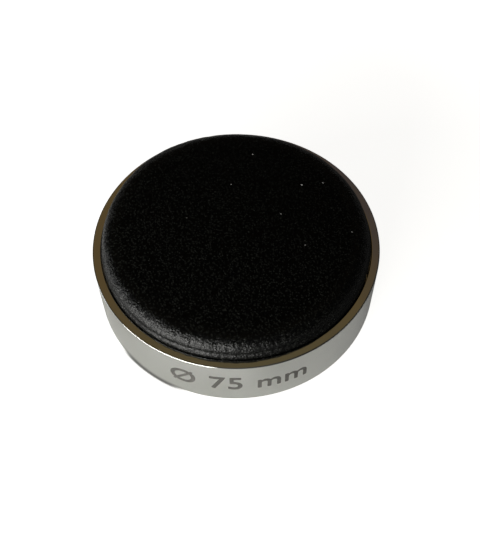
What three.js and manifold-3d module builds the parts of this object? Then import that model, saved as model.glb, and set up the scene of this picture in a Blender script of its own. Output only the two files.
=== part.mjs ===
// Watchmaker's casing cushion: a heavy polished metal ring that holds a leather-covered gel pad.
// A watch is laid face down on the pad while its case back, crystal or hands are pressed home.
// Millimetres, +Z up, origin on the bench under the centre of the cushion.

import * as THREE from 'three';
import { mergeVertices } from 'three/addons/utils/BufferGeometryUtils.js';
import Module from 'manifold-3d';

const wasm = await Module();
wasm.setup();

// Ring
const ringDiameter = 75;
const ringHeight = 16.6; // metal only, from the lower edge to the rim
const rimWall = 2.2; // wall beside the pad
const recessWall = 3; // wall beside the base plate and the foot
const flangeThickness = 3;
const flangeReach = 10; // from the upper bore inwards
const edgeBreak = 0.4;
const boreBreak = 0.2;

// Foot and base plate
const footThickness = 1.2;
const footProud = 0.1; // the ring's lower edge clears the bench by this much
const footClearance = 0.5;
const adhesiveThickness = 0.2;
const basePlateThickness = 4;
const plateClearance = 0.15;

// Countersunk screws and their inserts
const screwCount = 3;
const screwInset = 8; // from the rim of the carrier's hub to each screw's axis
const shankRadius = 1.5;
const headRadius = 2.9;
const headLand = 0.3;
const headDepth = 0.1; // the head sits this far inside the plate's lower face
const tipChamfer = 0.4;
const socketAcrossFlats = 2;
const socketDepth = 1.1;
const screwClearance = 0.2;
const threadClearance = 0.1;
const insertWall = 0.7;
const insertFit = 0.05;
const insertCover = 1.2; // carrier material left above each insert
const insertRoom = 0.4; // hole depth past the insert's end
const tipRoom = 0.8; // insert length past the screw's tip

// Carrier
const carrierThickness = 2.8;
const hubClearance = 0.5;
const hubLift = 0.3; // gap that lets the screws clamp the flange

// Leather cover
const leatherGap = 0.3; // between the cover and the ring's bore
const leatherThickness = 0.8;
const crownRise = 5.2; // centre of the pad above the rim
const crownRadius = 1200; // the pad's top is a very shallow dome
const shoulderRadius = 3.3;
const gatherRoom = 2; // bare flange inside the turned-in hem
const threadRadius = 0.25; // gathering thread
const threadGap = 0.05;

// Filling
const gelThickness = 5;
const filmThickness = 0.15;
const layerGap = 0.05;

// How finely the round pieces are made
const ringSteps = 60;
const screwSteps = 20;
const threadSteps = 6;
const crownSteps = 3;
const shoulderSteps = 6;
const cornerSteps = 3;

// Radii that follow from the sizes above
const ringRadius = ringDiameter / 2;
const boreRadius = ringRadius - rimWall;
const recessRadius = ringRadius - recessWall;
const flangeRadius = boreRadius - flangeReach;
const hubRadius = flangeRadius - hubClearance;
const screwCircle = hubRadius - screwInset;
const coverRadius = boreRadius - leatherGap;
const hemRadius = flangeRadius + gatherRoom;
const fillingRadius = coverRadius - leatherThickness - layerGap;
const insertBore = shankRadius + threadClearance;
const insertRadius = insertBore + insertWall;

// Heights that follow from the sizes above
const rimZ = footProud + ringHeight;
const crownZ = rimZ + crownRise;
const plateZ = footThickness + adhesiveThickness;
const flangeZ = plateZ + basePlateThickness;
const hemZ = flangeZ + flangeThickness;
const carrierZ = hemZ + leatherThickness;
const foamZ = carrierZ + carrierThickness;
const hubZ = flangeZ + hubLift;
const insertTopZ = foamZ - insertCover;
const screwZ = plateZ + headDepth;

// How far each layer under the pad's outer surface lies
const filmInset = leatherThickness + layerGap;
const gelInset = filmInset + filmThickness + layerGap;
const gelZ = crownZ - gelInset - gelThickness;
const lowerFilmZ = gelZ - filmThickness;

// The crown's dome and the shoulder's arc touch smoothly at this angle up from level.
const domeCentreZ = crownZ - crownRadius;
const shoulderCentre = coverRadius - shoulderRadius;
const centreDistance = crownRadius - shoulderRadius;
const shoulderZ = domeCentreZ + Math.sqrt(centreDistance ** 2 - shoulderCentre ** 2);
const touchAngle = Math.atan2(shoulderZ - domeCentreZ, shoulderCentre);

const finishes = {
  steel: { color: 0xc9c6bf, roughness: 0.12, metalness: 1 },
  plate: { color: 0x8f9194, roughness: 0.4, metalness: 1 },
  screw: { color: 0x6d6f73, roughness: 0.35, metalness: 1 },
  brass: { color: 0xb08d46, roughness: 0.35, metalness: 1 },
  leather: { color: 0x0b0b0c, roughness: 0.5, metalness: 0 },
  thread: { color: 0x1b1b1d, roughness: 0.8, metalness: 0 },
  plastic: { color: 0x2b2d30, roughness: 0.6, metalness: 0 },
  foam: { color: 0x55585c, roughness: 0.95, metalness: 0 },
  gel: { color: 0x9fc3c9, roughness: 0.3, metalness: 0 },
  film: { color: 0xd8dde0, roughness: 0.4, metalness: 0 },
  rubber: { color: 0x161616, roughness: 0.85, metalness: 0 },
  tape: { color: 0xdedacb, roughness: 0.7, metalness: 0 },
};

const cushion = new THREE.Group();

function addPiece(name, geometry, finish) {
  const material = new THREE.MeshStandardMaterial(finishes[finish]);
  const piece = new THREE.Mesh(geometry, material);
  piece.name = name;
  cushion.add(piece);
  return piece;
}

// Turns an outline of [radius, height] points about +Z.
function turned(outline, steps = ringSteps) {
  const points = outline.map(([radius, height]) => new THREE.Vector2(radius, height));
  const geometry = new THREE.LatheGeometry(points, steps);
  geometry.rotateX(Math.PI / 2);
  return geometry;
}

function disc(radius, bottom, top) {
  return turned([[0, bottom], [radius, bottom], [radius, top], [0, top]]);
}

function toSolid(geometry) {
  const bare = geometry.toNonIndexed();
  bare.deleteAttribute('normal');
  bare.deleteAttribute('uv');
  const merged = mergeVertices(bare, 1e-4);
  const vertProperties = merged.attributes.position.array;
  const triVerts = new Uint32Array(merged.index.array);
  return new wasm.Manifold(new wasm.Mesh({ numProp: 3, vertProperties, triVerts }));
}

function toGeometry(solid) {
  const { vertProperties, triVerts } = solid.getMesh();
  const geometry = new THREE.BufferGeometry();
  geometry.setAttribute('position', new THREE.BufferAttribute(vertProperties, 3));
  geometry.setIndex(new THREE.BufferAttribute(triVerts, 1));
  geometry.computeVertexNormals();
  return geometry;
}

function cut(geometry, cutters) {
  const left = cutters.reduce((solid, cutter) => solid.subtract(toSolid(cutter)), toSolid(geometry));
  return toGeometry(left);
}

// The screw axes, evenly spaced round the screw circle.
function screwPlaces() {
  const angles = Array.from({ length: screwCount }, (_, i) => (i * 2 * Math.PI) / screwCount);
  return angles.map((angle) => [screwCircle * Math.cos(angle), screwCircle * Math.sin(angle)]);
}

function placedAtScrews(geometry) {
  return screwPlaces().map(([x, y]) => geometry.clone().translate(x, y, 0));
}

// The pad's outline from the axis to the top of its wall, a distance inset under its outer surface.
function crownOutline(inset) {
  const dome = Array.from({ length: crownSteps }, (_, i) => {
    const lean = ((Math.PI / 2 - touchAngle) * i) / crownSteps;
    const radius = crownRadius - inset;
    return [radius * Math.sin(lean), domeCentreZ + radius * Math.cos(lean)];
  });
  const shoulder = Array.from({ length: shoulderSteps + 1 }, (_, i) => {
    const angle = touchAngle * (1 - i / shoulderSteps);
    const radius = shoulderRadius - inset;
    return [shoulderCentre + radius * Math.cos(angle), shoulderZ + radius * Math.sin(angle)];
  });
  return [...dome, ...shoulder];
}

function outerRing() {
  return turned([
    [recessRadius, flangeZ],
    [recessRadius, footProud + boreBreak],
    [recessRadius + boreBreak, footProud],
    [ringRadius - edgeBreak, footProud],
    [ringRadius, footProud + edgeBreak],
    [ringRadius, rimZ - edgeBreak],
    [ringRadius - edgeBreak, rimZ],
    [boreRadius + boreBreak, rimZ],
    [boreRadius, rimZ - boreBreak],
    [boreRadius, hemZ],
    [flangeRadius, hemZ],
    [flangeRadius, flangeZ],
    [recessRadius, flangeZ],
  ]);
}

// The leather goes over the pad, down its wall and in under the carrier.
function leatherCover() {
  const corner = Array.from({ length: cornerSteps + 1 }, (_, i) => {
    const angle = (-Math.PI / 2) * (i / cornerSteps);
    const radius = coverRadius - leatherThickness + leatherThickness * Math.cos(angle);
    return [radius, carrierZ + leatherThickness * Math.sin(angle)];
  });
  const outside = [...crownOutline(0), ...corner, [hemRadius, hemZ], [hemRadius, carrierZ]];
  const inside = [...crownOutline(leatherThickness), [coverRadius - leatherThickness, carrierZ]];
  return turned([...outside, ...inside.reverse()].reverse());
}

function gatheringThread() {
  const radius = hemRadius - threadRadius - threadGap;
  const geometry = new THREE.TorusGeometry(radius, threadRadius, threadSteps, ringSteps);
  return geometry.translate(0, 0, hemZ + threadRadius);
}

function gelPad() {
  const outline = crownOutline(gelInset);
  const wall = coverRadius - gelInset;
  return turned([...outline, [wall, gelZ], [0, gelZ]].reverse());
}

// The upper film wraps the gel's top and wall, and is welded to the lower film round its edge.
function upperFilm() {
  const outside = [...crownOutline(filmInset), [coverRadius - filmInset, gelZ]];
  const innerInset = filmInset + filmThickness;
  const inside = [...crownOutline(innerInset), [coverRadius - innerInset, gelZ]];
  return turned([...outside, ...inside.reverse()].reverse());
}

function padCarrier() {
  const body = turned([
    [0, hubZ],
    [hubRadius, hubZ],
    [hubRadius, carrierZ],
    [fillingRadius, carrierZ],
    [fillingRadius, foamZ],
    [0, foamZ],
  ]);
  const holeRadius = insertRadius + insertFit;
  const hole = turned(
    [[0, hubZ - 1], [holeRadius, hubZ - 1], [holeRadius, insertTopZ + insertRoom], [0, insertTopZ + insertRoom]],
    screwSteps,
  );
  return cut(body, placedAtScrews(hole));
}

function threadInsert() {
  return turned(
    [
      [insertBore, hubZ],
      [insertRadius, hubZ],
      [insertRadius, insertTopZ],
      [insertBore, insertTopZ],
      [insertBore, hubZ],
    ],
    screwSteps,
  );
}

// The outline of a screw grown by a clearance, from its head's face up to a given height.
function screwOutline(clearance, bottom, top) {
  const coneZ = screwZ + headLand;
  return [
    [0, bottom],
    [headRadius + clearance, bottom],
    [headRadius + clearance, coneZ],
    [shankRadius + clearance, coneZ + headRadius - shankRadius],
    [shankRadius + clearance, top],
  ];
}

function baseScrew() {
  const tipZ = insertTopZ - tipRoom;
  const outline = screwOutline(0, screwZ, tipZ - tipChamfer);
  const body = turned([...outline, [shankRadius - tipChamfer, tipZ], [0, tipZ]], screwSteps);
  const socketRadius = socketAcrossFlats / Math.sqrt(3);
  const socket = new THREE.CylinderGeometry(socketRadius, socketRadius, 2 * socketDepth, 6);
  socket.rotateX(Math.PI / 2);
  socket.translate(0, 0, screwZ);
  return cut(body, [socket]);
}

function basePlate() {
  const body = disc(recessRadius - plateClearance, plateZ, flangeZ);
  const outline = screwOutline(screwClearance, plateZ - 1, flangeZ + 1);
  const hole = turned([...outline, [0, flangeZ + 1]], screwSteps);
  return cut(body, placedAtScrews(hole));
}

addPiece('anti_slip_foot', disc(recessRadius - footClearance, 0, footThickness), 'rubber');
addPiece('foot_adhesive', disc(recessRadius - footClearance, footThickness, plateZ), 'tape');
addPiece('base_plate', basePlate(), 'plate');
addPiece('outer_ring', outerRing(), 'steel');
addPiece('pad_carrier', padCarrier(), 'plastic');
addPiece('foam_layer', disc(fillingRadius, foamZ, lowerFilmZ), 'foam');
addPiece('gel_film_lower', disc(fillingRadius, lowerFilmZ, gelZ), 'film');
addPiece('gel_pad', gelPad(), 'gel');
addPiece('gel_film_upper', upperFilm(), 'film');
addPiece('leather_cover', leatherCover(), 'leather');
addPiece('gathering_thread', gatheringThread(), 'thread');

screwPlaces().forEach(([x, y], i) => {
  const insert = addPiece(`thread_insert_${i + 1}`, threadInsert(), 'brass');
  const screw = addPiece(`base_screw_${i + 1}`, baseScrew(), 'screw');
  insert.position.set(x, y, 0);
  screw.position.set(x, y, 0);
});

export default cushion;
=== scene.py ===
"""The looks of a watchmaker's casing cushion: a polished ring round a leather-covered gel pad.

Metres, +Z up, standing on the bench at z = 0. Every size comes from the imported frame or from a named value.
"""

import math

import bpy
import numpy as np
from mathutils import Matrix, Vector


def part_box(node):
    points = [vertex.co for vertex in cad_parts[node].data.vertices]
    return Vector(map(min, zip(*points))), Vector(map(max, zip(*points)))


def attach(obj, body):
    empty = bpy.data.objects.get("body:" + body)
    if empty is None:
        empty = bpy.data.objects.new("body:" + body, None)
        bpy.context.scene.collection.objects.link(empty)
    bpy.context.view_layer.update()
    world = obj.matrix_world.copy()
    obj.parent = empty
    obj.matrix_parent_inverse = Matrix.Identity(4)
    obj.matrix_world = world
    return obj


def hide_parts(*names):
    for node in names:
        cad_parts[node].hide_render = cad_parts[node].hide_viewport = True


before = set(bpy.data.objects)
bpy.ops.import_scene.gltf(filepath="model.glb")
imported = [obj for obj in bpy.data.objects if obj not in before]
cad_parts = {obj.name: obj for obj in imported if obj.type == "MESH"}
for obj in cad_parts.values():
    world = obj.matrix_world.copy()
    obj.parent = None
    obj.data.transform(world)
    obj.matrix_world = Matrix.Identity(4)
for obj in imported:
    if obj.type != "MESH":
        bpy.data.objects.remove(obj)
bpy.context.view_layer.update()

MM = 0.001
SEED = 7

# ---------------------------------------------------------------- sizes

ring_low, ring_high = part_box("outer_ring")
cover_low, cover_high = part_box("leather_cover")
_, plate_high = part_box("base_plate")
_, thread_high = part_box("gathering_thread")

RING_RADIUS = ring_high.x
RING_FOOT = ring_low.z
RIM = ring_high.z
COVER_RADIUS = cover_high.x
CROWN = cover_high.z
HEM = cover_low.z
FLANGE_UNDERSIDE = plate_high.z

# Small fits and breaks that the frame's boxes don't show
LEATHER_GAP = 0.3 * MM
PLATE_GAP = 0.15 * MM
THREAD_GAP = 0.05 * MM
EDGE_BREAK = 0.28 * MM
BORE_BREAK = 0.22 * MM
INNER_CORNER = 0.1 * MM
FLANGE_PAST_HEM = 2 * MM

HEM_RADIUS = thread_high.x + THREAD_GAP
FLANGE_RADIUS = HEM_RADIUS - FLANGE_PAST_HEM
BORE_RADIUS = COVER_RADIUS + LEATHER_GAP
RECESS_RADIUS = plate_high.x + PLATE_GAP

# The pad's outline: a shallow crown, a rounded shoulder, then a straight wall down to the hem
SHOULDER_RADIUS = 3.3 * MM
CROWN_SAG = 0.42 * MM
LEATHER_THICKNESS = 0.78 * MM
SHOULDER_IN = COVER_RADIUS - SHOULDER_RADIUS
SHOULDER_Z = CROWN - CROWN_SAG - SHOULDER_RADIUS
SHOULDER_LENGTH = SHOULDER_RADIUS * math.pi / 2


# ---------------------------------------------------------------- shader maths

class Value:
    """A number socket that Python's operators work on. Each operator adds Math nodes."""

    def __init__(self, finish, socket):
        self.finish = finish
        self.socket = socket

    def maths(self, operation, other):
        return self.finish.value("ShaderNodeMath", {"operation": operation}, [self, other])

    def __add__(self, other):
        return self.maths("ADD", other)

    def __mul__(self, other):
        return self.maths("MULTIPLY", other)

    def __sub__(self, other):
        return self.maths("SUBTRACT", other)

    def __rsub__(self, other):
        return (self * -1.0) + other

    def __truediv__(self, other):
        return self.maths("DIVIDE", other)

    def __pow__(self, other):
        return self.maths("POWER", other)

    __radd__ = __add__
    __rmul__ = __mul__

    def ramp(self, low, high):
        """0 below low, 1 above high, and smooth between. With low above high it falls instead."""
        settings = {"interpolation_type": "SMOOTHSTEP"}
        inputs = {"Value": self, "From Min": low, "From Max": high}
        return self.finish.value("ShaderNodeMapRange", settings, inputs, "Result")


class Finish:
    """A node tree being written. One method adds any node: its type, its settings, then its sockets."""

    def __init__(self, tree):
        self.tree = tree
        tree.nodes.clear()

    def node(self, kind, settings=None, inputs=None):
        """Inputs are a dictionary by socket name, or a list in the sockets' order, of values or links."""
        node = self.tree.nodes.new(kind)
        for key, value in (settings or {}).items():
            setattr(node, key, value)
        pairs = inputs.items() if isinstance(inputs, dict) else enumerate(inputs or [])
        for key, value in pairs:
            if isinstance(value, Value):
                value = value.socket
            if isinstance(value, bpy.types.NodeSocket):
                self.tree.links.new(value, node.inputs[key])
            else:
                node.inputs[key].default_value = value
        return node

    def value(self, kind, settings=None, inputs=None, output=0):
        return Value(self, self.node(kind, settings, inputs).outputs[output])

    def place(self, scale=(1, 1, 1)):
        """The object's own coordinates, scaled by a Mapping node."""
        coordinates = self.node("ShaderNodeTexCoord").outputs["Object"]
        return self.node("ShaderNodeMapping", None, {"Vector": coordinates, "Scale": scale}).outputs["Vector"]

    def axes(self, vector):
        split = self.node("ShaderNodeSeparateXYZ", None, [vector])
        return [Value(self, socket) for socket in split.outputs]

    def vector(self, x, y, z):
        return self.node("ShaderNodeCombineXYZ", None, [x, y, z]).outputs[0]

    def noise(self, vector, scale, detail=2.0, roughness=0.5):
        inputs = {"Vector": vector, "Scale": scale, "Detail": detail, "Roughness": roughness}
        return self.value("ShaderNodeTexNoise", None, inputs)

    def drifted(self, vector, scale, reach):
        """The same coordinates, pushed about smoothly, so that a pattern on them isn't too regular."""
        drift = self.node("ShaderNodeTexNoise", None, {"Vector": vector, "Scale": scale, "Detail": 2.0})
        inputs = {0: drift.outputs["Color"], "Scale": reach}
        shift = self.node("ShaderNodeVectorMath", {"operation": "SCALE"}, inputs).outputs[0]
        return self.node("ShaderNodeVectorMath", {"operation": "ADD"}, [vector, shift]).outputs[0]

    def cells(self, vector, scale, feature="F1"):
        """The distance from the nearest cell's centre or, for DISTANCE_TO_EDGE, from its border."""
        inputs = {"Vector": vector, "Scale": scale}
        return self.value("ShaderNodeTexVoronoi", {"feature": feature}, inputs, "Distance")

    def scattered(self, vector, scale, dimensions="3D"):
        """The distance from the nearest of many scattered spots, and that spot's own random numbers."""
        inputs = {"Vector": vector, "Scale": scale}
        spots = self.node("ShaderNodeTexVoronoi", {"voronoi_dimensions": dimensions}, inputs)
        return Value(self, spots.outputs["Distance"]), self.axes(spots.outputs["Color"])

    def seen_directly(self):
        """1 where the bench or the room is looked at, 0 where a surface mirrors it or is lit by it."""
        return self.value("ShaderNodeLightPath", None, None, "Is Camera Ray")

    def blend(self, factor, first, second):
        """Mixes two colours."""
        node = self.node("ShaderNodeMix", {"data_type": "RGBA"}, {"Factor": factor})
        for socket, colour in zip([s for s in node.inputs if s.type == "RGBA"], (first, second)):
            if isinstance(colour, bpy.types.NodeSocket):
                self.tree.links.new(colour, socket)
            else:
                socket.default_value = colour
        return next(s for s in node.outputs if s.type == "RGBA")

    def bump(self, height, distance, strength=1.0):
        inputs = {"Height": height, "Distance": distance, "Strength": strength}
        return self.node("ShaderNodeBump", None, inputs).outputs["Normal"]

    def surface(self, inputs):
        shader = self.node("ShaderNodeBsdfPrincipled", None, inputs)
        self.node("ShaderNodeOutputMaterial", None, {"Surface": shader.outputs[0]})


def new_finish(name):
    material = bpy.data.materials.new(name)
    material.use_nodes = True
    return material, Finish(material.node_tree)


def from_axis(x, y):
    """How far a place is from the cushion's axis."""
    return (x * x + y * y) ** 0.5


def grey(level, warmth=0.0):
    return (level * (1 + warmth), level, level * (1 - warmth), 1)


# ---------------------------------------------------------------- finishes that show
# A pattern's scale is its repeats in a metre. A tone is red, green, blue and 1, in linear light.

TURNING_LINES = 5200
POLISHING_LINES = 16000
WIPE_SCALE = 90
WIPE_SQUASH = (1, 1, 2.5)
HANDLED_SCALE = 38
CLEAN_STEEL = (0.80, 0.808, 0.772, 1)
HANDLED_STEEL = (0.76, 0.768, 0.732, 1)
POLISH_RELIEF = 0.0022 * MM


def polished_ring():
    """Turned and polished steel: fine turning lines round the rim, faint wiping marks on the side."""
    material, f = new_finish("polished ring steel")
    spot = f.place()
    x, y, z = f.axes(spot)
    level = f.vector(from_axis(x, y), z, 0.0)
    coarse = f.noise(level, TURNING_LINES, detail=3)
    fine = f.noise(level, POLISHING_LINES)
    wiped = f.noise(f.place(WIPE_SQUASH), WIPE_SCALE, detail=4, roughness=0.6)
    wear_and_lit_side = f.noise(spot, HANDLED_SCALE, detail=3)
    lines = coarse * 0.6 + fine * 0.4
    f.surface({
        "Base Color": f.blend(wear_and_lit_side.ramp(0.35, 0.7), CLEAN_STEEL, HANDLED_STEEL),
        "Metallic": 1.0,
        "Roughness": 0.07 + 0.09 * wiped.ramp(0.42, 0.72) + 0.035 * coarse,
        "Normal": f.bump(lines + wiped * 1.5, POLISH_RELIEF, 0.6),
    })
    return material


PEBBLES = 1550
CREASES = 330
GRIT = 1900
# The next scale is of the painted glint spots on the grain
GLINT_SPOTS = 1250
DUST_SPECKS = 165
DRAW_LINES = 2400
GLOSS_PATCHES = 70
GRAIN_DRIFT_SCALE = 500.0
GRAIN_DRIFT = 0.7 * MM
DRAWN_FROM = SHOULDER_IN - 3.5 * MM
DRAWN_TO = SHOULDER_IN + 1.2 * MM
BLACK_HIDE = (0.0002, 0.0002, 0.0002, 1)
# The next two tones are painted glints: a paler one for the grain's tips, then one for scattered spots
TIP_GLINT_TONE = (0.028, 0.030, 0.026, 1)
GLINT_SPOT_TONE = (0.034, 0.036, 0.032, 1)
DUST = (0.7, 0.7, 0.68, 1)
DULL_SHINE = 0.2
BURNISHED_SHINE = 0.5
GRAIN_RELIEF = 0.24 * MM


def black_leather():
    """Thin black leather with a fine pebbled grain and a little dust.

    It is dull on top. Over the shoulder it is drawn smooth and burnished by handling.
    """
    material, f = new_finish("black leather")
    spot = f.place()
    x, y, z = f.axes(spot)
    radius = from_axis(x, y)
    drawn = radius.ramp(DRAWN_FROM, DRAWN_TO)
    # Painted light: stronger towards the front left, the lit side; it strengthens the painted glints there
    wear_and_lit_side = 0.45 + 0.55 * ((x * -0.7 - y * 0.7) / SHOULDER_IN).ramp(-1.1, 0.9)

    # Stretched round the circle, so that the lines lie level round the shoulder
    draw_lines = f.noise(f.vector(x * 0.1, y * 0.1, radius - z), DRAW_LINES, detail=3, roughness=0.6)
    wandering = f.drifted(spot, GRAIN_DRIFT_SCALE, GRAIN_DRIFT)
    pebbles = 1 - f.cells(wandering, PEBBLES).ramp(0.1, 0.75)
    creases = f.cells(wandering, CREASES, "DISTANCE_TO_EDGE").ramp(0.0, 0.05)
    grit = f.noise(spot, GRIT, detail=4, roughness=0.7)
    patches = f.noise(spot, GLOSS_PATCHES, detail=3)

    # Tones, from the hide up: painted glints on grain tips and scattered spots, then dust on the top only
    tip_glints = (pebbles * 0.5 + grit).ramp(0.68, 1.0) * (1 - 0.4 * drawn) * wear_and_lit_side
    # Painted glints: pale spots scattered over the grain
    glint_spot, glint_spot_numbers = f.scattered(wandering, GLINT_SPOTS)
    glint_spots = glint_spot.ramp(0.34, 0.12) * glint_spot_numbers[1].ramp(0.35, 0.95) * wear_and_lit_side
    speck, speck_numbers = f.scattered(wandering, DUST_SPECKS, "2D")
    dust = speck.ramp(0.042, 0.020) * speck_numbers[0].ramp(0.87, 0.89) * (1 - drawn)
    hide = f.blend(tip_glints, BLACK_HIDE, TIP_GLINT_TONE)
    glinted = f.blend(glint_spots, hide, GLINT_SPOT_TONE)

    grain = pebbles * (0.5 - 0.22 * drawn) + creases * (0.2 - 0.1 * drawn)
    height = grain + grit * 0.5 + draw_lines * (0.2 * drawn)
    shared = {
        "Base Color": f.blend(dust, glinted, DUST),
        "Roughness": 0.19 + 0.09 * patches + 0.08 * (1 - pebbles),
        "Normal": f.bump(height, GRAIN_RELIEF),
    }
    dull = f.node("ShaderNodeBsdfPrincipled", None, {**shared, "Specular IOR Level": DULL_SHINE})
    burnished = f.node("ShaderNodeBsdfPrincipled", None, {**shared, "Specular IOR Level": BURNISHED_SHINE})
    both = f.node("ShaderNodeMixShader", None, [drawn, dull.outputs[0], burnished.outputs[0]])
    f.node("ShaderNodeOutputMaterial", None, {"Surface": both.outputs[0]})
    return material


SCAN_LINES = 3000
SCAN_SQUASH = (1, 1, 6)
MARK_PATCHES = 500
DARK_MARK = (0.13, 0.127, 0.116, 1)
PALE_MARK = (0.18, 0.176, 0.162, 1)
MARK_RELIEF = 0.004 * MM


def laser_mark():
    """Metal dulled to a matt dark grey by a marking laser."""
    material, f = new_finish("laser mark")
    patchy = f.noise(f.place(), MARK_PATCHES, detail=3)
    scan = f.noise(f.place(SCAN_SQUASH), SCAN_LINES)
    f.surface({
        "Base Color": f.blend(patchy.ramp(0.3, 0.7), DARK_MARK, PALE_MARK),
        "Metallic": 0.35,
        "Roughness": 0.5 + 0.15 * scan,
        "Normal": f.bump(scan, MARK_RELIEF, 0.6),
    })
    return material


# ---------------------------------------------------------------- finishes of the hidden pieces

# Each finish: its darker and its lighter tone, roughness, metallic, grain scale and relief
HIDDEN_FINISHES = {
    "foot rubber": (grey(0.010), grey(0.018), 0.72, 0.0, 2200, 0.03 * MM),
    "adhesive tape": (grey(0.62, 0.08), grey(0.7, 0.08), 0.5, 0.0, 900, 0.01 * MM),
    "carrier plastic": (grey(0.028), grey(0.036), 0.45, 0.0, 1800, 0.01 * MM),
    "firm foam": (grey(0.07), grey(0.11), 0.85, 0.0, 1500, 0.08 * MM),
    "gel": ((0.40, 0.55, 0.58, 1), (0.46, 0.61, 0.64, 1), 0.18, 0.0, 300, 0.01 * MM),
    "gel film": (grey(0.62), grey(0.7), 0.25, 0.0, 500, 0.005 * MM),
    "waxed thread": (grey(0.016), grey(0.026), 0.6, 0.0, 5000, 0.03 * MM),
    "insert brass": ((0.58, 0.42, 0.18, 1), (0.66, 0.5, 0.23, 1), 0.25, 1.0, 1600, 0.004 * MM),
    "zinc-plated screw": (grey(0.42, 0.02), grey(0.5, 0.02), 0.28, 1.0, 1400, 0.004 * MM),
}

HIDDEN_PIECES = {
    "anti_slip_foot": "foot rubber",
    "foot_adhesive": "adhesive tape",
    "base_plate": "turned plate steel",
    "pad_carrier": "carrier plastic",
    "foam_layer": "firm foam",
    "gel_pad": "gel",
    "gel_film_upper": "gel film",
    "gel_film_lower": "gel film",
    "gathering_thread": "waxed thread",
    "thread_insert_1": "insert brass",
    "thread_insert_2": "insert brass",
    "thread_insert_3": "insert brass",
    "base_screw_1": "zinc-plated screw",
    "base_screw_2": "zinc-plated screw",
    "base_screw_3": "zinc-plated screw",
}

PATCHES_PER_GRAIN = 12
PLATE_LINES = 2600
PLATE_RELIEF = 0.006 * MM


def made_surface(name, dark, light, rough, metallic, grain_scale, relief):
    """A plain made surface: two close tones, grain at its own scale and a matching relief."""
    material, f = new_finish(name)
    spot = f.place()
    grain = f.noise(spot, grain_scale, detail=4, roughness=0.6)
    patches = f.noise(spot, grain_scale / PATCHES_PER_GRAIN)
    f.surface({
        "Base Color": f.blend(patches.ramp(0.3, 0.7), dark, light),
        "Metallic": metallic,
        "Roughness": rough + 0.12 * grain,
        "Normal": f.bump(grain, relief, 0.6),
    })
    return material


def turned_plate():
    """Faced steel: fine rings of tool marks round the centre."""
    material, f = new_finish("turned plate steel")
    x, y, _ = f.axes(f.place())
    lines = f.noise(f.vector(from_axis(x, y), 0.0, 0.0), PLATE_LINES, detail=3)
    f.surface({
        "Base Color": f.blend(lines, grey(0.36), grey(0.48)),
        "Metallic": 1.0,
        "Roughness": 0.28 + 0.15 * lines,
        "Normal": f.bump(lines, PLATE_RELIEF, 0.7),
    })
    return material


def paint_hidden_pieces():
    finishes = {name: made_surface(name, *values) for name, values in HIDDEN_FINISHES.items()}
    finishes["turned plate steel"] = turned_plate()
    for piece, finish in HIDDEN_PIECES.items():
        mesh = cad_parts[piece].data
        mesh.materials.clear()
        mesh.materials.append(finishes[finish])


# ---------------------------------------------------------------- making pieces

def new_object(name, mesh, material=None):
    piece = bpy.data.objects.new(name, mesh)
    bpy.context.scene.collection.objects.link(piece)
    if material:
        mesh.materials.append(material)
    return piece


def plain_copy(name, source):
    """The evaluated source as a plain mesh object. The source and its modifiers are removed."""
    bpy.context.view_layer.update()
    graph = bpy.context.evaluated_depsgraph_get()
    mesh = bpy.data.meshes.new_from_object(source.evaluated_get(graph))
    bpy.data.objects.remove(source)
    mesh.name = name
    for slot in reversed(range(len(mesh.materials))):
        if mesh.materials[slot] is None:
            mesh.materials.pop(index=slot)
    return new_object(name, mesh)


class Tree:
    """A Geometry Nodes tree being written, with named inputs."""

    def __init__(self, name, **inputs):
        self.group = bpy.data.node_groups.new(name, "GeometryNodeTree")
        self.group.interface.new_socket("Geometry", in_out="OUTPUT", socket_type="NodeSocketGeometry")
        self.group.interface.new_socket("Geometry", in_out="INPUT", socket_type="NodeSocketGeometry")
        self.sockets = {}
        for label, kind in inputs.items():
            title = label.replace("_", " ").title()
            self.sockets[label] = self.group.interface.new_socket(title, in_out="INPUT", socket_type=kind)
        self.start = self.group.nodes.new("NodeGroupInput")
        self.end = self.group.nodes.new("NodeGroupOutput")

    def given(self, label):
        return self.start.outputs[self.sockets[label].name]

    def node(self, kind, settings=None, inputs=None):
        node = self.group.nodes.new(kind)
        for key, value in (settings or {}).items():
            setattr(node, key, value)
        for key, value in (inputs or {}).items():
            if isinstance(value, bpy.types.NodeSocket):
                self.group.links.new(value, node.inputs[key])
            else:
                node.inputs[key].default_value = value
        return node

    def maths(self, operation, first, second=0.0):
        return self.node("ShaderNodeMath", {"operation": operation}, {0: first, 1: second}).outputs[0]

    def finish(self, geometry, material):
        """Every tree ends the same way: real geometry, then its material."""
        real = self.node("GeometryNodeRealizeInstances", None, {"Geometry": geometry}).outputs[0]
        coated = self.node("GeometryNodeSetMaterial", None, {"Geometry": real, "Material": material})
        self.group.links.new(coated.outputs[0], self.end.inputs[0])

    def use_on(self, piece, **values):
        modifier = piece.modifiers.new(self.group.name, "NODES")
        modifier.node_group = self.group
        for label, value in values.items():
            modifier[self.sockets[label].identifier] = value


# ---------------------------------------------------------------- the turned ring

ARC_STEPS = 6
FLAT_HOLD = 0.08 * MM
RING_STEPS = 480


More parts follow.
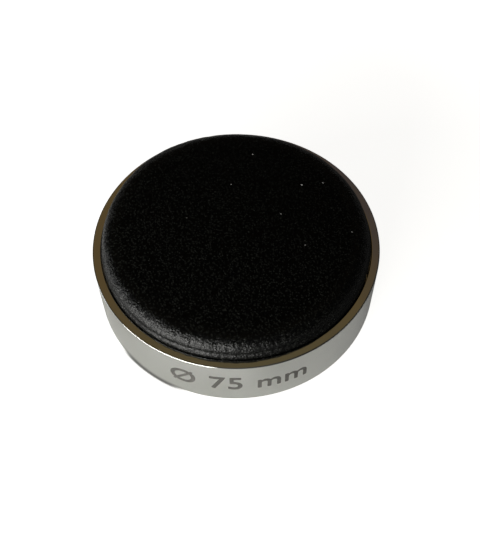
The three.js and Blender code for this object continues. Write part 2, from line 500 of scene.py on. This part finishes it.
def rounded_outline(corners):
    """A closed outline whose corners are rounded. Each corner is (radius from the axis, height, rounding).

    A point is kept just before and after each arc, so that the flats beside it shade flat.
    """
    outline = []
    count = len(corners)
    for index, (r, z, rounding) in enumerate(corners):
        corner = Vector((r, z))
        before = (Vector(corners[index - 1][:2]) - corner).normalized()
        after = (Vector(corners[(index + 1) % count][:2]) - corner).normalized()
        half = before.angle(after) / 2
        reach = rounding / math.tan(half)
        centre = corner + (before + after).normalized() * (rounding / math.sin(half))
        start = corner + before * reach - centre
        stop = corner + after * reach - centre
        turn = start.angle_signed(stop)
        outline.append(corner + before * (reach + FLAT_HOLD))
        for step in range(ARC_STEPS + 1):
            arm = start.copy()
            arm.rotate(Matrix.Rotation(-turn * step / ARC_STEPS, 2))
            outline.append(centre + arm)
        outline.append(corner + after * (reach + FLAT_HOLD))
    return outline


def turning_tree():
    """Turns an outline about +Z, as a lathe would."""
    tree = Tree(
        "turned piece",
        rail_radius="NodeSocketFloat",
        steps="NodeSocketInt",
        finish="NodeSocketMaterial",
    )
    outline = tree.node("GeometryNodeMeshToCurve", None, {"Mesh": tree.start.outputs["Geometry"]})
    circle = {"Radius": tree.given("rail_radius"), "Resolution": tree.given("steps")}
    rail = tree.node("GeometryNodeCurvePrimitiveCircle", None, circle)
    sweep = {"Curve": rail.outputs["Curve"], "Profile Curve": outline.outputs["Curve"]}
    body = tree.node("GeometryNodeCurveToMesh", None, sweep)
    outwards = tree.node("GeometryNodeFlipFaces", None, {"Mesh": body.outputs["Mesh"]})
    smooth = tree.node("GeometryNodeSetShadeSmooth", None, {"Geometry": outwards.outputs[0]})
    tree.finish(smooth.outputs[0], tree.given("finish"))
    return tree


def make_ring():
    """The turned ring: straight side, flat rim, small round breaks, and the flange that the pad sits on."""
    corners = [
        (RECESS_RADIUS, FLANGE_UNDERSIDE, INNER_CORNER),
        (RECESS_RADIUS, RING_FOOT, BORE_BREAK),
        (RING_RADIUS, RING_FOOT, EDGE_BREAK),
        (RING_RADIUS, RIM, EDGE_BREAK),
        (BORE_RADIUS, RIM, BORE_BREAK),
        (BORE_RADIUS, HEM, INNER_CORNER),
        (FLANGE_RADIUS, HEM, BORE_BREAK),
        (FLANGE_RADIUS, FLANGE_UNDERSIDE, BORE_BREAK),
    ]
    # The sweep lays an outline's first axis outwards from the rail and its second axis downwards.
    points = [(p.x - RING_RADIUS, -p.y, 0) for p in rounded_outline(corners)]
    edges = [(i, (i + 1) % len(points)) for i in range(len(points))]
    mesh = bpy.data.meshes.new("ring outline")
    mesh.from_pydata(points, edges, [])
    outline = new_object("ring outline", mesh)
    turning_tree().use_on(outline, rail_radius=RING_RADIUS, steps=RING_STEPS, finish=polished_ring())
    ring = plain_copy("ring", outline)
    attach(ring, "root")
    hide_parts("outer_ring")


# ---------------------------------------------------------------- the leather cushion

CENTRE_COUNT = 48
CENTRE_RADIUS = SHOULDER_IN - 1.5 * MM
SHOULDER_STEPS = 7
WALL_HEIGHTS = (
    SHOULDER_Z - 0.75 * MM,
    RIM,
    RIM - 1.2 * MM,
    RIM - 3.2 * MM,
    HEM + 2.2 * MM,
    HEM + 1.0 * MM,
)


def crown_height(radius, depth=0.0):
    """The height of the very shallow crown, or of a surface lying depth below it."""
    return CROWN - depth - CROWN_SAG * (radius / SHOULDER_IN) ** 2


def cover_outline(depth=0.0):
    """(radius, height) of each ring of points outside the disc: shoulder, wall, then hem.

    Depth moves it inwards, for the inner face.
    """
    rounding = SHOULDER_RADIUS - depth
    outline = []
    for step in range(SHOULDER_STEPS + 1):
        angle = math.pi / 2 * (1 - step / SHOULDER_STEPS)
        outline.append((SHOULDER_IN + rounding * math.cos(angle), SHOULDER_Z + rounding * math.sin(angle)))
    wall = COVER_RADIUS - depth
    hem = HEM + depth
    outline += [(wall, height) for height in WALL_HEIGHTS]
    outline += [(wall, hem), (wall - 1.2 * MM, hem), (HEM_RADIUS + 3 * MM, hem), (HEM_RADIUS, hem)]
    return outline


def disc_point(u, v):
    """Presses a square's point into the round, so that nested squares become nested circles."""
    if abs(u) > abs(v):
        angle = math.pi / 4 * v / u
        return u * math.cos(angle), u * math.sin(angle)
    if v == 0:
        return 0.0, 0.0
    angle = math.pi / 4 * u / v
    return v * math.sin(angle), v * math.cos(angle)


def quad_net(count, depth=0.0):
    """The pad's surface in quads only: a disc in the middle, then a ring of quads for each outline point.

    Returns its points, its faces and the points round its open edge.
    """
    points = []
    faces = []
    for row in range(count + 1):
        for column in range(count + 1):
            x, y = disc_point(2 * column / count - 1, 2 * row / count - 1)
            x, y = x * CENTRE_RADIUS, y * CENTRE_RADIUS
            points.append((x, y, crown_height(math.hypot(x, y), depth)))
    side = count + 1
    for row in range(count):
        for column in range(count):
            a = row * side + column
            faces.append((a, a + 1, a + side + 1, a + side))
    edge = list(range(count))
    edge += [row * side + count for row in range(count)]
    edge += [count * side + count - column for column in range(count)]
    edge += [(count - row) * side for row in range(count)]
    turns = [math.atan2(points[i][1], points[i][0]) for i in edge]
    for radius, height in cover_outline(depth):
        first = len(points)
        points += [(radius * math.cos(t), radius * math.sin(t), height) for t in turns]
        ring = list(range(first, first + len(edge)))
        for i in range(len(edge)):
            j = (i + 1) % len(edge)
            faces.append((edge[i], ring[i], ring[j], edge[j]))
        edge = ring
    return np.array(points), faces, edge


# The cloth is settled much larger than life, because the simulation is made for things of a metre or so.
CLOTH_SCALE = 20
CLOTH_FRAMES = 20
GEL_PRESSURE = 4
SHOULDER_SLACK = -0.035
WALL_HOLD = 1.0
CROWN_HOLD = 0.25
SHOULDER_HOLD = 0.02
MOST_SETTLING = 0.45 * MM


def settle_leather(net):
    """Lets the gel push the leather out as cloth, held by the ring below the rim. Returns the new points."""
    points = np.array([v.co for v in net.data.vertices])
    held = net.vertex_groups.new(name="held")
    slack = net.vertex_groups.new(name="slack")
    for index, (x, y, z) in enumerate(points / CLOTH_SCALE):
        on_wall = z < RIM + 0.2 * MM
        on_crown = math.hypot(x, y) < SHOULDER_IN - 3 * MM
        on_shoulder = not on_wall and not on_crown
        held.add([index], WALL_HOLD if on_wall else CROWN_HOLD if on_crown else SHOULDER_HOLD, "REPLACE")
        slack.add([index], 1.0 if on_shoulder else 0.0, "REPLACE")
    cloth = net.modifiers.new("leather", "CLOTH")
    settings = cloth.settings
    settings.quality = 6
    settings.mass = 0.3
    settings.tension_stiffness = 30
    settings.compression_stiffness = 30
    settings.shear_stiffness = 10
    settings.bending_stiffness = 0.6
    settings.vertex_group_mass = "held"
    settings.vertex_group_shrink = "slack"
    settings.shrink_min = 0.0
    settings.shrink_max = SHOULDER_SLACK
    settings.use_pressure = True
    settings.uniform_pressure_force = GEL_PRESSURE
    settings.effector_weights.gravity = 0
    cloth.collision_settings.use_collision = False
    cloth.point_cache.frame_start = 1
    cloth.point_cache.frame_end = CLOTH_FRAMES
    for number in range(1, CLOTH_FRAMES + 1):
        bpy.context.scene.frame_set(number)
    graph = bpy.context.evaluated_depsgraph_get()
    settled = net.evaluated_get(graph).data
    moved = np.array([v.co for v in settled.vertices]) / CLOTH_SCALE
    net.modifiers.remove(cloth)
    bpy.context.scene.frame_set(1)
    return moved


def limited(shift, most):
    """Each movement shortened smoothly so that none is longer than most."""
    size = np.linalg.norm(shift, axis=1, keepdims=True)
    return shift * most / (size + most)


def wander(turn, count, seed):
    """A smooth random curve round the circle, between -1 and 1, with a knot at each of count places."""
    knots = np.random.default_rng(seed).uniform(-1, 1, count)
    place = turn % 1 * count
    low = np.floor(place).astype(int)
    step = place - low
    step = step * step * (3 - 2 * step)
    return knots[low % count] * (1 - step) + knots[(low + 1) % count] * step


def bell(value, centre, width):
    return np.exp(-((value - centre) / width) ** 2)


# Fine gathers in rows round the shoulder. Each row: its strength, how far it leans, its knots round the
# circle, what it adds to SEED, how many mm it lies below the crown's edge, and how many mm it spreads.
FINE_GATHERS = (
    (1.0, 1.0, 290, 1, 3.6, 1.3),
    (0.8, -1.0, 370, 2, 2.2, 1.0),
    (0.9, 0.5, 300, 5, 5.3, 0.7),
)
LEAN = 0.0004


def press_folds(points, normals):
    """Adds what the coarse cloth can't hold: fine gathers down the shoulder and the roll where it tucks in.

    Heights and distances down the shoulder are in mm. Degrees go round from +X towards +Y.
    """
    x, y, z = points.T
    radius = np.hypot(x, y)
    turn = np.arctan2(y, x) / (2 * math.pi)
    degrees = turn * 360 % 360
    angle = np.clip(np.arctan2(z - SHOULDER_Z, np.maximum(radius - SHOULDER_IN, 1e-9)), 0, math.pi / 2)
    down = np.where(
        radius < SHOULDER_IN,
        radius - SHOULDER_IN,
        SHOULDER_LENGTH - angle * SHOULDER_RADIUS + np.maximum(SHOULDER_Z - z, 0),
    ) / MM
    above_rim = np.clip((z - RIM + 0.4 * MM) / (0.6 * MM), 0, 1)

    # Gathered most at the front, less at the left
    gathered = bell(degrees, 252, 34) + 0.5 * bell(degrees, 205, 40)
    lean = down * LEAN * wander(turn, 40, SEED)
    fine = 0.0
    for strength, slant, knots, draw, centre, spread in FINE_GATHERS:
        fine = fine + strength * wander(turn + slant * lean, knots, SEED + draw) * bell(down, centre, spread)
    broad = wander(turn + 2 * lean, 110, SEED + 3) * bell(down, 3.4, 2.0)
    height = (0.018 + 0.065 * gathered) * fine + (0.015 + 0.02 * gathered) * broad

    # A groove and a roll where the leather tucks into the ring, deepest at the front
    tucked = 0.3 + 0.7 * bell(degrees, 262, 48)
    waver = 0.25 * wander(turn, 24, SEED + 4)
    height -= 0.20 * tucked * bell(down, 4.55 + waver, 0.5)
    height += 0.28 * tucked * bell(down, 5.9 + waver, 0.8)

    # A slight bulge at the back left
    height += 0.45 * bell(degrees, 130, 25) * bell(down, 3.4, 1.7)
    return points + normals * (height * above_rim * MM)[:, None]


def by_turn(points, indices):
    return sorted(indices, key=lambda i: math.atan2(points[i][1], points[i][0]) % (2 * math.pi))


def open_edge(points, faces):
    """The points round a surface's open edge, in order of their turn about the axis."""
    sides = [side for face in faces for side in zip(face, face[1:] + face[:1])]
    known = set(sides)
    return by_turn(points, [a for a, b in sides if (b, a) not in known])


def close_shell(outer, outer_faces, inner, inner_faces, inner_edge):
    """Joins the outer leather to its inner face along the hem's edge, which is the finer outside."""
    count = len(outer)
    faces = list(outer_faces)
    faces += [tuple(count + i for i in reversed(face)) for face in inner_faces]
    outer_edge = open_edge(outer, outer_faces)
    inner_edge = by_turn(inner, inner_edge)
    per = len(outer_edge) // len(inner_edge)
    for k, here in enumerate(inner_edge):
        there = inner_edge[(k + 1) % len(inner_edge)]
        fan = [outer_edge[(k * per + step) % len(outer_edge)] for step in range(per + 1)]
        for a, b in zip(fan, fan[1:]):
            faces.append((b, a, count + here))
        faces.append((fan[-1], count + here, count + there))
    mesh = bpy.data.meshes.new("leather cushion")
    mesh.from_pydata(np.vstack([outer, inner]).tolist(), [], faces)
    return mesh


def make_cushion():
    """The stuffed pad's leather: settled as cloth over the gel, then gathered where it meets the ring."""
    points, faces, _ = quad_net(CENTRE_COUNT)
    mesh = bpy.data.meshes.new("leather net")
    mesh.from_pydata((points * CLOTH_SCALE).tolist(), [], faces)
    net = new_object("leather net", mesh)
    points = points + limited(settle_leather(net) - points, MOST_SETTLING)
    mesh.vertices.foreach_set("co", points.ravel())
    smoothing = net.modifiers.new("smoothing", "SUBSURF")
    smoothing.levels = smoothing.render_levels = 2
    fine = plain_copy("fine leather", net)
    outer = np.empty(len(fine.data.vertices) * 3)
    fine.data.vertices.foreach_get("co", outer)
    outer = outer.reshape(-1, 3)
    normals = np.array([n.vector for n in fine.data.vertex_normals])
    outer = press_folds(outer, normals)
    outer_faces = [tuple(p.vertices) for p in fine.data.polygons]
    bpy.data.objects.remove(fine)
    mesh = close_shell(outer, outer_faces, *quad_net(CENTRE_COUNT // 2, LEATHER_THICKNESS))
    mesh.polygons.foreach_set("use_smooth", [True] * len(mesh.polygons))
    cushion = new_object("leather_cushion", mesh, black_leather())
    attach(cushion, "root")
    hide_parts("leather_cover")


# ---------------------------------------------------------------- the size mark

MARK_TEXT = "Ø 75 mm"
MARK_HEIGHT = 6.1 * MM
MARK_PROUD = 0.04 * MM
MARK_SUNK = 0.03 * MM
MARK_WEIGHT = 0.12 * MM
MARK_STEP = 0.3 * MM
MARK_WELD = 0.002 * MM
MARK_TURN = math.radians(-90)
LETTER_SPACING = 1.06
CAPITAL_SHARE = 0.7     # a capital letter's height in the size of its type


def marking_tree():
    """Writes flat words, gives them thickness and wraps them round a cylinder that stands on the bench."""
    tree = Tree(
        "wrapped mark",
        words="NodeSocketString",
        size="NodeSocketFloat",
        cylinder="NodeSocketFloat",
        height="NodeSocketFloat",
        turn="NodeSocketFloat",
        thickness="NodeSocketFloat",
        weight="NodeSocketFloat",
        finish="NodeSocketMaterial",
    )
    written = tree.node(
        "GeometryNodeStringToCurves",
        {"align_x": "CENTER", "align_y": "MIDDLE"},
        {"String": tree.given("words"), "Size": tree.given("size"), "Character Spacing": LETTER_SPACING},
    )
    letters = {"Geometry": written.outputs["Curve Instances"]}
    strokes = tree.node("GeometryNodeRealizeInstances", None, letters)

    # Each outline is pushed out sideways by the weight, which makes the letters bold.
    stepping = {"Curve": strokes.outputs[0], "Length": MARK_STEP}
    stepped = tree.node("GeometryNodeResampleCurve", {"mode": "LENGTH"}, stepping)
    facing = {0: tree.node("GeometryNodeInputTangent").outputs[0], 1: (0, 0, 1)}
    across = tree.node("ShaderNodeVectorMath", {"operation": "CROSS_PRODUCT"}, facing)
    pushing = {0: across.outputs[0], "Scale": tree.given("weight")}
    push = tree.node("ShaderNodeVectorMath", {"operation": "SCALE"}, pushing)
    shifting = {"Geometry": stepped.outputs[0], "Offset": push.outputs[0]}
    bold = tree.node("GeometryNodeSetPosition", None, shifting)

    # The filled letters are raised, and the same faces turned over close them underneath.
    flat = tree.node("GeometryNodeFillCurve", None, {"Curve": bold.outputs[0]})
    raised = tree.node(
        "GeometryNodeExtrudeMesh",
        None,
        {"Mesh": flat.outputs[0], "Offset Scale": tree.given("thickness"), "Individual": False},
    )
    back = tree.node("GeometryNodeFlipFaces", None, {"Mesh": flat.outputs[0]})
    both = tree.node("GeometryNodeJoinGeometry")
    tree.group.links.new(raised.outputs["Mesh"], both.inputs[0])
    tree.group.links.new(back.outputs[0], both.inputs[0])
    welding = {"Geometry": both.outputs[0], "Distance": MARK_WELD}
    closed = tree.node("GeometryNodeMergeByDistance", None, welding)

    # Across the words becomes round the cylinder, and up the words becomes up the cylinder.
    place = tree.node("GeometryNodeInputPosition").outputs[0]
    split = tree.node("ShaderNodeSeparateXYZ", None, {"Vector": place}).outputs
    turned = tree.maths("ADD", tree.maths("DIVIDE", split[0], tree.given("cylinder")), tree.given("turn"))
    radius = tree.maths("ADD", split[2], tree.given("cylinder"))
    wrapped = tree.node("ShaderNodeCombineXYZ", None, {
        "X": tree.maths("MULTIPLY", tree.maths("COSINE", turned), radius),
        "Y": tree.maths("MULTIPLY", tree.maths("SINE", turned), radius),
        "Z": tree.maths("ADD", split[1], tree.given("height")),
    })
    bending = {"Geometry": closed.outputs[0], "Position": wrapped.outputs[0]}
    bent = tree.node("GeometryNodeSetPosition", None, bending)
    tree.finish(bent.outputs[0], tree.given("finish"))
    return tree


def make_mark():
    """A plain size mark lasered on the ring's front."""
    start = new_object("mark start", bpy.data.meshes.new("mark start"))
    marking_tree().use_on(
        start,
        words=MARK_TEXT,
        size=MARK_HEIGHT / CAPITAL_SHARE,
        cylinder=RING_RADIUS - MARK_SUNK,
        height=(RING_FOOT + RIM) / 2,
        turn=MARK_TURN,
        thickness=MARK_PROUD + MARK_SUNK,
        weight=MARK_WEIGHT,
        finish=laser_mark(),
    )
    mark = plain_copy("size_mark", start)
    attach(mark, "root")


# ---------------------------------------------------------------- camera and light

CAMERA_REACH = 6 * RING_RADIUS
CAMERA_ELEVATION = 0.9496
CAMERA_YAW = -0.0047
CAMERA_PITCH = -0.043
CAMERA_ROLL = 0.023
LENS = 55.69
SENSOR_WIDTH = 36
SIDE_SHIFT = -0.0007
NEAREST_SEEN = 10 * MM


def make_camera():
    """Stands in front of the cushion and looks down on it. Its angles are in radians."""
    data = bpy.data.cameras.new("camera")
    data.sensor_width = SENSOR_WIDTH
    data.lens = LENS
    data.shift_x = SIDE_SHIFT
    data.clip_start = NEAREST_SEEN
    camera = bpy.data.objects.new("camera", data)
    bpy.context.scene.collection.objects.link(camera)
    aim = Matrix.Rotation(math.pi / 2 - CAMERA_ELEVATION, 3, "X")
    aim = aim @ Matrix.Rotation(CAMERA_YAW, 3, "Y")
    aim = aim @ Matrix.Rotation(CAMERA_PITCH, 3, "X")
    aim = aim @ Matrix.Rotation(-CAMERA_ROLL, 3, "Z")
    forward = -CAMERA_REACH * math.cos(CAMERA_ELEVATION)
    up = RIM + CAMERA_REACH * math.sin(CAMERA_ELEVATION)
    camera.matrix_world = Matrix.Translation((0, forward, up)) @ aim.to_4x4()
    bpy.context.scene.camera = camera


# Each light: azimuth and elevation in degrees, width and height in metres, power in watts, colour
SOFTBOXES = {
    "front window": (-125.5, 13, (0.73, 0.22), 7.3, (1.0, 0.99, 0.955)),
    "front-left window": (-156, 14, (0.34, 0.24), 2.0, (1.0, 0.99, 0.97)),
    "left window": (172, 9, (0.25, 0.16), 0.32, (0.94, 0.97, 1.0)),
    "right slit": (-16, 22, (0.5, 0.05), 0.03, (1.0, 0.99, 0.96)),
}
SOFTBOX_DISTANCE = 1.0


def make_softbox(name, azimuth, elevation, size, power, colour):
    """A rectangular light aimed at the pad. Azimuth is measured from +X towards +Y."""
    data = bpy.data.lights.new(name, "AREA")
    data.shape = "RECTANGLE"
    data.size, data.size_y = size
    data.energy = power
    data.color = colour
    lamp = bpy.data.objects.new(name, data)
    bpy.context.scene.collection.objects.link(lamp)
    a, e = math.radians(azimuth), math.radians(elevation)
    away = Vector((math.cos(a) * math.cos(e), math.sin(a) * math.cos(e), math.sin(e)))
    lamp.location = away * SOFTBOX_DISTANCE + Vector((0, 0, RIM))
    lamp.rotation_mode = "QUATERNION"
    lamp.rotation_quaternion = away.to_track_quat("Z", "Y")
    lamp.visible_camera = False


WALL = (0.025, 0.024, 0.022, 1)
WINDOW_WALL = (0.4, 0.4, 0.39, 1)
WARM_CEILING = (0.103, 0.069, 0.030, 1)
PALE_CEILING = (0.103, 0.085, 0.046, 1)
RIGHT_CEILING = (0.057, 0.044, 0.040, 1)
NEAR_CEILING = (0.013, 0.013, 0.012, 1)
TOP_CEILING = (0.085, 0.082, 0.074, 1)
WHITE = (1, 1, 1, 1)

# The flat rim, looked at from in front, mirrors what lies this far back for this far up.
RIM_MIRRORS_BACK = 0.582
RIM_MIRRORS_UP = 0.813


def make_room():
    """Walls that brighten towards the windows under a dim warm ceiling, for the polish to mirror."""
    world = bpy.data.worlds.new("room")
    world.use_nodes = True
    bpy.context.scene.world = world
    f = Finish(world.node_tree)
    x, y, z = f.axes(f.node("ShaderNodeTexCoord").outputs["Generated"])
    window_side = x * -0.7 + y * -0.7
    walls = f.blend(window_side.ramp(0.1, 0.8), WALL, WINDOW_WALL)
    warm = f.blend(z.ramp(0.82, 0.92), WARM_CEILING, PALE_CEILING)

    # The ceiling beyond the bench ends at the right along a slanting line.
    far_right = x + (0.843 - z) * 2.0
    beyond = f.blend(far_right.ramp(0.17, 0.24), warm, RIGHT_CEILING)
    overhead = f.blend(z.ramp(0.955, 0.985), NEAR_CEILING, TOP_CEILING)
    behind = y * RIM_MIRRORS_BACK + z * RIM_MIRRORS_UP
    ceiling = f.blend(behind.ramp(0.925, 0.975), overhead, beyond)
    mirrored = f.blend(z.ramp(0.12, 0.42), walls, ceiling)
    shown = f.blend(f.seen_directly(), mirrored, WHITE)
    background = f.node("ShaderNodeBackground", None, {"Color": shown, "Strength": 1.0})
    f.node("ShaderNodeOutputWorld", None, {"Surface": background.outputs[0]})


# ---------------------------------------------------------------- the bench

BENCH_HALF = 4.0
BLACK = (0, 0, 0, 1)
PAPER = (0.8, 0.8, 0.79, 1)
GLOW = (1, 0.995, 0.98, 1)


def make_floor():
    """A pale bench top. It is plain to look at but for a painted shadow at the ring's foot.

    What the ring mirrors of it is uneven, with painted pools of light and painted shade.
    """
    mesh = bpy.data.meshes.new("floor")
    corners = [(-BENCH_HALF, -BENCH_HALF, 0), (BENCH_HALF, -BENCH_HALF, 0)]
    corners += [(BENCH_HALF, BENCH_HALF, 0), (-BENCH_HALF, BENCH_HALF, 0)]
    mesh.from_pydata(corners, [], [(0, 1, 2, 3)])
    material, f = new_finish("pale bench")
    x, y, _ = f.axes(f.place())
    away = from_axis(x, y)
    seen = f.seen_directly()
    mirrored = 1 - seen

    def towards(across, back):
        """1 where a place lies in that direction from the axis, 0 square to it, -1 opposite."""
        return (x * across + y * back) / away

    # Painted shadow: the deepest part of the ring's shadow, where it meets the bench at the front left
    close = away.ramp(RING_RADIUS + 0.8 * MM, RING_RADIUS)
    contact = close * towards(-0.62, -0.785).ramp(0.95, 0.99)

    # Looked at, the bench is evenly bright. Mirrored, it has painted pools of light, brightest in front, at
    # the front right and at the far left.
    near = away.ramp(400 * MM, 200 * MM)
    front = towards(-0.4, -0.92).ramp(0.75, 1.0) * away.ramp(RING_RADIUS - 2 * MM, RING_RADIUS + 10 * MM)
    right = towards(0.643, -0.766).ramp(0.6, 0.95) * away.ramp(56 * MM, 48 * MM)
    far_left = towards(-1, 0).ramp(0.75, 0.97) * away.ramp(50 * MM, 58 * MM) * away.ramp(120 * MM, 80 * MM)
    bright = near * (0.04 + 0.18 * front + 0.10 * right + 0.6 * far_left)
    glow = bright * mirrored + seen * (0.93 * (1 - contact))

    # Mirrored, it also has painted shade at the right and at the back left.
    painted_shade_right = towards(1, 0).ramp(-0.02, 0.38) * away.ramp(180 * MM, 110 * MM)
    painted_shade_right = painted_shade_right * (0.05 + 0.93 * away.ramp(48 * MM, 60 * MM)) * mirrored
    painted_shade_back_left = towards(-1, 0).ramp(0.4, 0.75) * towards(0, 1).ramp(0.1, 0.45)
    painted_shade_back_left = painted_shade_back_left * away.ramp(70 * MM, 130 * MM) * away.ramp(350 * MM, 200 * MM) * mirrored
    # The bench's colour darkened by painted shade: the painted shadow at the foot and the mirrored shade
    painted_shade = (1 - 0.7 * contact) * (1 - painted_shade_right) * (1 - 0.85 * painted_shade_back_left)
    f.surface({
        "Base Color": f.blend(painted_shade, BLACK, PAPER),
        "Roughness": 0.85,
        "Specular IOR Level": 0.2,
        "Emission Color": f.blend(glow, BLACK, GLOW),
        "Emission Strength": 1.0,
    })
    floor = new_object("floor", mesh, material)


def set_tones():
    view = bpy.context.scene.view_settings
    view.view_transform = "Standard"
    view.look = "None"


make_camera()
make_room()
for name, values in SOFTBOXES.items():
    make_softbox(name, *values)
make_floor()
set_tones()
paint_hidden_pieces()
make_ring()
make_cushion()
make_mark()
